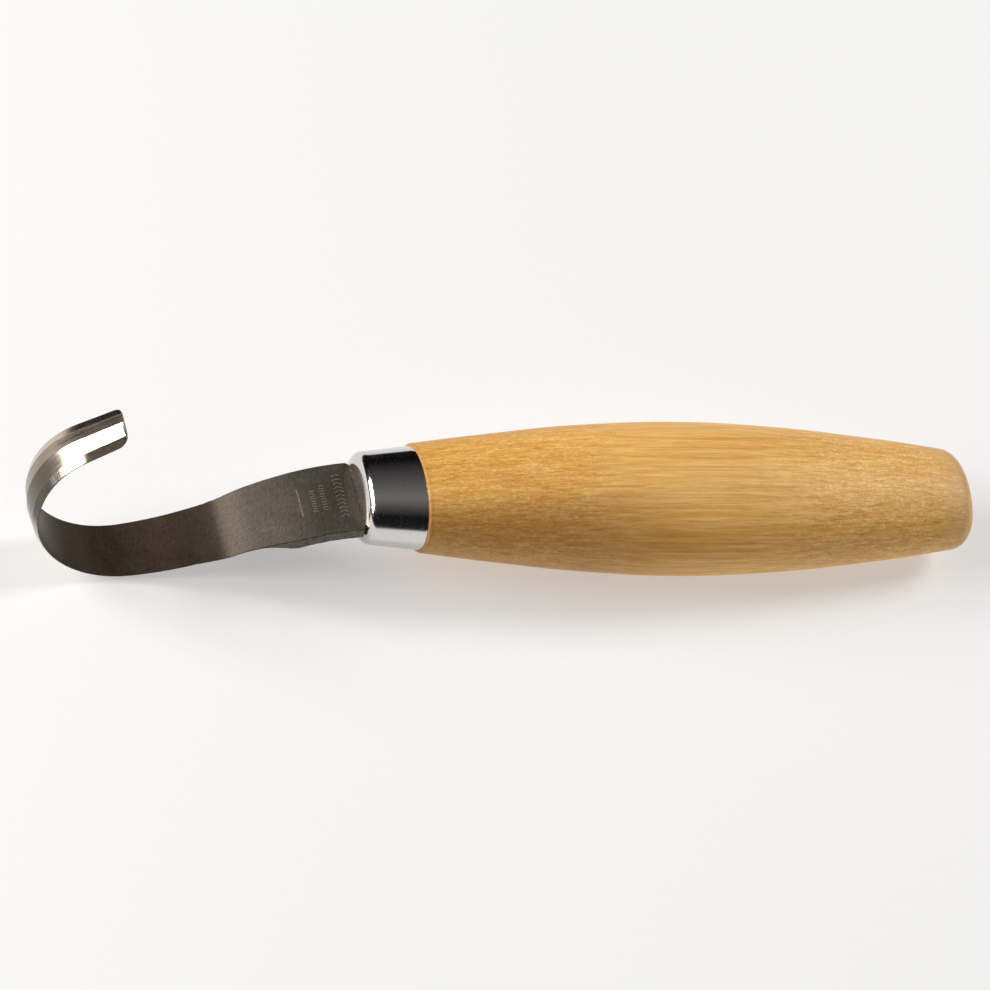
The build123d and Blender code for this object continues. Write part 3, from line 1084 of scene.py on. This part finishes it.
def ferrule_mesh(settings, oval):
    """The drawn cup: outer wall, rounded rim, slotted front and inner wall."""
    around = 192
    lip_steps, side_steps, rim_steps = 4, 16, 12
    front, rear, length = settings.front_half_width, settings.rear_half_width, settings.length
    radius, wall, lip = settings.front_radius, settings.wall, settings.rear_lip

    def half_at(x):
        return front + (rear - front) * x / length

    rings = []
    for i in range(lip_steps + 1):
        turn = pi / 2 * i / lip_steps
        x = length - lip + lip * cos(turn)
        rings.append(oval_ring(x, half_at(length), oval, lip * (1 - sin(turn)), around))
    for i in range(1, side_steps):
        x = length - lip + (radius - length + lip) * i / side_steps
        rings.append(oval_ring(x, half_at(x), oval, 0.0, around))
    for i in range(rim_steps + 1):
        turn = pi / 2 * i / rim_steps
        x = radius - radius * sin(turn)
        rings.append(oval_ring(x, half_at(x), oval, settings.front_shoulder * (1 - cos(turn)), around))
    slot = (5.3, 1.4)  # half length and half height
    outer_flat = oval_ring(0.0, front, oval, settings.front_shoulder, around)
    slot_front = slot_ring(0.0, *slot, around)
    for share in (0.3, 0.6, 0.85, 1.0):
        rings.append([a.lerp(b, share) for a, b in zip(outer_flat, slot_front)])
    rings.append(slot_ring(wall, *slot, around))
    rings.append(oval_ring(wall, half_at(wall), oval, wall + 0.6, around))
    rings.append(oval_ring(wall + 0.5, half_at(wall), oval, wall + 0.1, around))
    rings.append(oval_ring(length, half_at(length), oval, wall, around))
    return mesh_of_rings("ferrule_cup", rings, closed=True)


class HOOKKNIFE_OT_ferrule(bpy.types.Operator):
    """Draw the plated metal cup"""

    bl_idname = "hookknife.ferrule"
    bl_label = "Ferrule"

    def execute(self, context):
        settings = context.scene.hookknife_ferrule
        mesh = ferrule_mesh(settings, context.scene.hookknife_handle.oval)
        tidy_mesh(mesh, sharp=radians(40))
        place(mesh)
        add_piece("ferrule_cup", mesh, [plated_metal(tuple(settings.plate))], "ferrule")
        return {"FINISHED"}


def bead_mesh():
    """The adhesive that squeezed out between blade and ferrule, uneven and with one void."""
    far, near, thick = 6.1, 6.6, 1.0  # half sizes of the strip at the ferrule
    root = 0.1  # how far the bead's two inner edges reach into the strip
    foot_at = 0.02  # the bead's foot stands this far inside the ferrule's front face
    hole_at = 5.55
    steps = 96
    outline = []
    # Round the strip: inner face from near to far, far side, outer face, near side
    path = [Vector(corner) for corner in ((-near, thick), (far, thick), (far, -thick), (-near, -thick))]
    sides = [(path[i], path[(i + 1) % 4]) for i in range(4)]
    total = sum((b - a).length for a, b in sides)
    for step in range(steps):
        left = total * step / steps
        for a, b in sides:
            if left <= (b - a).length:
                spot = a.lerp(b, left / (b - a).length)
                break
            left -= (b - a).length
        away = Vector((0.25 * spot.x / near, 1.0 if spot.y > 0 else -1.0)).normalized()
        outline.append((spot, away))

    def beside(x, spot, away, reach):
        return Vector((x, spot.x + away.x * reach, spot.y + away.y * reach))

    rings = []
    for spot, away in outline:
        grain = noise.noise(Vector((spot.x * 0.9, spot.y * 2, 3.7)))
        size = 0.11 + 0.07 * grain
        if spot.y > 0:
            # A burst bubble near the far corner leaves a rim with a hole in it
            from_hole = abs(spot.x - hole_at)
            size += 0.24 * (1.0 - ease(from_hole, 0.35, 0.8))
            size *= 0.08 + 0.92 * ease(from_hole, 0.15, 0.35)
        base = beside(foot_at, spot, away, -root)
        foot = beside(foot_at, spot, away, size)
        mid = beside(-0.42 * size, spot, away, size * 0.45)
        top = beside(-size, spot, away, 0.03)
        inside = beside(-size, spot, away, -root)
        rings.append([base, foot, foot.lerp(mid, 0.5), mid, mid.lerp(top, 0.5), top, inside])
    return mesh_of_rings("adhesive_bead", rings, closed=True)


class HOOKKNIFE_OT_adhesive(bpy.types.Operator):
    """Lay the adhesive bead at the ferrule and finish the fill round the tang"""

    bl_idname = "hookknife.adhesive"
    bl_label = "Adhesive"

    # Fill of the slot and of the bore: distance along the axis, and half width and height there
    FILL = ((0.05, (5.25, 1.38)), (0.74, (5.25, 1.38)), (0.78, (5.45, 1.78)), (79.9, (5.45, 1.78)))

    def execute(self, context):
        skin = cured_adhesive()
        mesh = bead_mesh()
        fill = mesh_of_rings("fill", [slot_ring(x, *half, 96) for x, half in self.FILL])
        work = bmesh.new()
        work.from_mesh(mesh)
        work.from_mesh(fill)
        work.to_mesh(mesh)
        work.free()
        bpy.data.meshes.remove(fill)
        tidy_mesh(mesh, merge=1e-3, sharp=radians(50))
        place(mesh)
        add_piece("adhesive", mesh, [skin], "tang_adhesive")
        return {"FINISHED"}


def struck_marks_tree(material):
    """Geometry tree: rows of small struck strokes that follow the strip's first bend."""
    tree, given, out = new_group(
        "Struck marks",
        "GeometryNodeTree",
        {
            "Along": 4.0,
            "From": -3.0,
            "To": 3.0,
            "Count": 7,
            "Stroke length": 0.9,
            "Stroke width": 0.16,
            "Slant": 0.3,
            "Height": 1.01,
            "Seed": 4,
        },
        ("Geometry",),
    )
    ends = [vector_of(tree, given.outputs["Along"], given.outputs[name], 0.0) for name in ("From", "To")]
    values = {"Count": given.outputs["Count"], "Start Location": ends[0], "Offset": ends[1]}
    row = node(tree, "GeometryNodeMeshLine", values, mode="END_POINTS")
    stroke_depth = 0.06
    size = vector_of(tree, given.outputs["Stroke length"], given.outputs["Stroke width"], stroke_depth)
    values = {"Size": size, "Vertices X": 5, "Vertices Y": 2, "Vertices Z": 2}
    stroke = node(tree, "GeometryNodeMeshCube", values)
    # 2 and 3 are the least and the greatest value of the float form of this node
    values = {2: -0.10, 3: 0.10, "Seed": given.outputs["Seed"]}
    jitter = node(tree, "FunctionNodeRandomValue", values, data_type="FLOAT")
    turned = vector_of(tree, 0.0, 0.0, calc(tree, "ADD", given.outputs["Slant"], jitter.outputs[1]))
    values = {"Points": row.outputs[0], "Instance": stroke.outputs[0], "Rotation": turned}
    placed = node(tree, "GeometryNodeInstanceOnPoints", values)
    real = node(tree, "GeometryNodeRealizeInstances", {"Geometry": placed.outputs[0]})
    parts = node(tree, "ShaderNodeSeparateXYZ", {0: tree.nodes.new("GeometryNodeInputPosition").outputs[0]})
    radius = BENDS[0][1]
    first = radians(180 + FIRST_HEADING)
    heading = calc(tree, "ADD", calc(tree, "DIVIDE", parts.outputs[0], radius), first)
    sine, cosine = calc(tree, "SINE", heading), calc(tree, "COSINE", heading)
    outward = calc(tree, "SUBTRACT", parts.outputs[2], given.outputs["Height"])
    line_x = calc(tree, "MULTIPLY", calc(tree, "SUBTRACT", sine, sin(first)), radius)
    line_z = calc(tree, "MULTIPLY", calc(tree, "SUBTRACT", cos(first), cosine), radius)
    x = calc(tree, "SUBTRACT", line_x, calc(tree, "MULTIPLY", sine, outward))
    x = calc(tree, "ADD", x, STRIP_START)
    z = calc(tree, "ADD", line_z, calc(tree, "MULTIPLY", cosine, outward))
    on_strip = vector_of(tree, x, parts.outputs[1], z)
    moved = node(tree, "GeometryNodeSetPosition", {"Geometry": real.outputs[0], "Position": on_strip})
    finished = node(tree, "GeometryNodeSetMaterial", {"Geometry": moved.outputs[0], "Material": material})
    tree.links.new(finished.outputs[0], out.inputs[0])
    return tree


class HOOKKNIFE_OT_marks(bpy.types.Operator):
    """Strike the plain maker's rows into the shank"""

    bl_idname = "hookknife.marks"
    bl_label = "Struck marks"

    # Each row: distance along the strip, from, to, count, stroke length, stroke width, slant
    ROWS = (
        (2.35, -4.2, 4.2, 11, 0.80, 0.13, 0.50),
        (2.98, -4.2, 4.2, 11, 0.80, 0.13, -0.50),
        (5.4, -2.6, 2.4, 10, 0.75, 0.11, 0.0),
        (7.1, -2.6, 1.6, 9, 0.75, 0.11, 0.0),
        (9.3, -3.0, 2.2, 12, 0.28, 0.22, 0.0),
    )

    def execute(self, context):
        steel = struck_steel(tuple(context.scene.hookknife_blade.steel))
        tree = struck_marks_tree(steel)
        work = bmesh.new()
        for number, (along, low, high, count, length, width, slant) in enumerate(self.ROWS):
            values = {"Along": along, "From": low, "To": high, "Count": count, "Slant": slant}
            values.update({"Stroke length": length, "Stroke width": width, "Height": 1.0, "Seed": number})
            part = grow(f"row_{number}", tree, values)
            work.from_mesh(part)
            bpy.data.meshes.remove(part)
        mesh = bpy.data.meshes.new("struck_marks")
        work.to_mesh(mesh)
        work.free()
        tidy_mesh(mesh, merge=1e-5, sharp=radians(40))
        place(mesh)
        add_piece("struck_marks", mesh, [steel])
        return {"FINISHED"}


# ------------------------------------------------------------------ studio


def floor_mesh():
    """A wide plane under the knife."""
    mesh = bpy.data.meshes.new("floor")
    half = 3.0
    corners = [(-half, -half, 0), (half, -half, 0), (half, half, 0), (-half, half, 0)]
    mesh.from_pydata(corners, [], [(0, 1, 2, 3)])
    return mesh


def floor_material(colour, glow):
    """Pale seamless paper with a faint tooth, which also gives off light of its own."""
    material, tree, shader = new_material("floor_paper")
    at = tree.nodes.new("ShaderNodeTexCoord").outputs["Object"]
    tooth = speckle(tree, at, 900.0, 2.0, 0.5)
    paper = blend_colour(tree, tooth, tint(colour, 0.60), tint(colour, 0.61))
    tree.links.new(paper, shader.inputs["Base Color"])
    shader.inputs["Roughness"].default_value = 0.9
    shader.inputs["Specular IOR Level"].default_value = 0.1
    # Part of the floor's brightness is its own light, which keeps the shadow pale
    shader.inputs["Emission Color"].default_value = (*colour, 1.0)
    shader.inputs["Emission Strength"].default_value = glow
    return material


def softbox(name, direction, distance, size, power, colour=(1.0, 1.0, 1.0)):
    """A rectangular area light that looks at the knife from a direction."""
    data = bpy.data.lights.new(name, "AREA")
    data.shape = "RECTANGLE"
    data.size, data.size_y = size
    data.energy = power
    data.color = colour
    lamp = bpy.data.objects.new(name, data)
    way = Vector(direction).normalized()
    low, high = cad_bounds
    centre = (low + high) / 2
    lamp.location = centre + way * distance
    lamp.rotation_mode = "QUATERNION"
    lamp.rotation_quaternion = way.to_track_quat("Z", "Y")
    bpy.context.scene.collection.objects.link(lamp)
    return lamp


# Share of the half turn from the front horizon over the zenith to the back one, and brightness
ROOM_LIGHT = (
    (0.0, 0.30),
    (0.03, 0.02),
    (0.22, 0.01),
    (0.31, 0.07),
    (0.44, 0.20),
    (0.52, 0.165),
    (0.64, 0.09),
    (0.77, 0.035),
    (0.85, 0.006),
    (1.0, 0.01),
)


def studio_world():
    """A dark room with a dim grey scrim overhead, strongest just in front of the zenith."""
    world = bpy.data.worlds.new("studio_room")
    bpy.context.scene.world = world
    world.use_nodes = True
    tree = world.node_tree
    tree.nodes.clear()
    direction = tree.nodes.new("ShaderNodeTexCoord").outputs["Generated"]
    parts = node(tree, "ShaderNodeSeparateXYZ", {0: direction})
    angle = calc(tree, "ARCTAN2", parts.outputs[2], calc(tree, "MULTIPLY", parts.outputs[1], -1.0))
    share = calc(tree, "DIVIDE", angle, pi)
    ramp = tree.nodes.new("ShaderNodeValToRGB")
    elements = ramp.color_ramp.elements
    while len(elements) < len(ROOM_LIGHT):
        elements.new(0.5)
    for element, (position, value) in zip(elements, ROOM_LIGHT):
        element.position = position
        element.color = (value, value * 0.96, value * 0.94, 1.0)
    tree.links.new(share, ramp.inputs[0])
    background = node(tree, "ShaderNodeBackground", {"Color": ramp.outputs[0], "Strength": 1.0})
    out = tree.nodes.new("ShaderNodeOutputWorld")
    tree.links.new(background.outputs[0], out.inputs[0])


def add_camera(settings):
    """Camera at the chosen view about the knife's own axes."""
    turn, lift, roll = settings.azimuth, settings.elevation, settings.roll
    back = Vector((sin(turn), -cos(turn) * cos(lift), cos(turn) * sin(lift)))
    right = Vector((cos(turn), sin(turn) * cos(lift), -sin(turn) * sin(lift)))
    up = back.cross(right)
    turned = KNIFE.to_3x3().normalized()
    right_rolled = right * cos(roll) - up * sin(roll)
    up_rolled = right * sin(roll) + up * cos(roll)
    axes = Matrix((turned @ right_rolled, turned @ up_rolled, turned @ back)).transposed()
    data = bpy.data.cameras.new("camera")
    data.lens = settings.lens
    data.sensor_width = 36.0
    data.clip_start = 0.01
    data.clip_end = 20.0
    camera = bpy.data.objects.new("camera", data)
    place_at = KNIFE @ Vector(settings.aim) + turned @ back * settings.distance
    camera.matrix_world = Matrix.Translation(place_at) @ axes.to_4x4()
    bpy.context.scene.collection.objects.link(camera)
    bpy.context.scene.camera = camera


class HOOKKNIFE_OT_studio(bpy.types.Operator):
    """Set up the floor, the lights, the room and the camera"""

    bl_idname = "hookknife.studio"
    bl_label = "Studio"

    def execute(self, context):
        settings = context.scene.hookknife_studio
        floor = bpy.data.objects.new("floor", floor_mesh())
        floor.data.materials.append(floor_material(tuple(settings.floor), settings.floor_glow))
        context.scene.collection.objects.link(floor)
        softbox("left_softbox", (-0.86, 0.14, 0.45), 1.0, (0.80, 0.48), 13.0, (1.0, 0.98, 0.95))
        softbox("right_softbox", (0.76, 0.22, 0.64), 1.3, (0.5, 0.5), 9.0)
        studio_world()
        add_camera(settings)
        context.scene.view_settings.view_transform = "Standard"
        return {"FINISHED"}


# ------------------------------------------------------------------ panel and registration


class HOOKKNIFE_PT_bench(bpy.types.Panel):
    """Lists the knife's pieces in the sidebar"""

    bl_label = "Hook knife"
    bl_space_type = "VIEW_3D"
    bl_region_type = "UI"
    bl_category = "Hook knife"

    def draw(self, context):
        for maker in MAKERS:
            self.layout.operator(maker.bl_idname)
        for name in SETTINGS:
            group = getattr(context.scene, name)
            box = self.layout.box()
            for key in group.__annotations__:
                box.prop(group, key)


MAKERS = (
    HOOKKNIFE_OT_blade,
    HOOKKNIFE_OT_marks,
    HOOKKNIFE_OT_ferrule,
    HOOKKNIFE_OT_handle,
    HOOKKNIFE_OT_adhesive,
    HOOKKNIFE_OT_studio,
)
SETTINGS = {
    "hookknife_blade": BladeSettings,
    "hookknife_handle": HandleSettings,
    "hookknife_ferrule": FerruleSettings,
    "hookknife_studio": StudioSettings,
}


def register():
    """Adds the settings, the operators and the panel to Blender."""
    for group in SETTINGS.values():
        bpy.utils.register_class(group)
    for name, group in SETTINGS.items():
        setattr(bpy.types.Scene, name, PointerProperty(type=group))
    for maker in (*MAKERS, HOOKKNIFE_PT_bench):
        bpy.utils.register_class(maker)


def unregister():
    """Takes the settings, the operators and the panel away again."""
    for maker in reversed((*MAKERS, HOOKKNIFE_PT_bench)):
        bpy.utils.unregister_class(maker)
    for name, group in SETTINGS.items():
        delattr(bpy.types.Scene, name)
        bpy.utils.unregister_class(group)


def main():
    """Builds the knife and its studio."""
    register()
    brush_lines_group()
    handling_group()
    growth_rings_group()
    bpy.ops.hookknife.blade()
    bpy.ops.hookknife.marks()
    bpy.ops.hookknife.ferrule()
    bpy.ops.hookknife.handle()
    bpy.ops.hookknife.adhesive()
    bpy.ops.hookknife.studio()


if __name__ == "__main__":
    main()
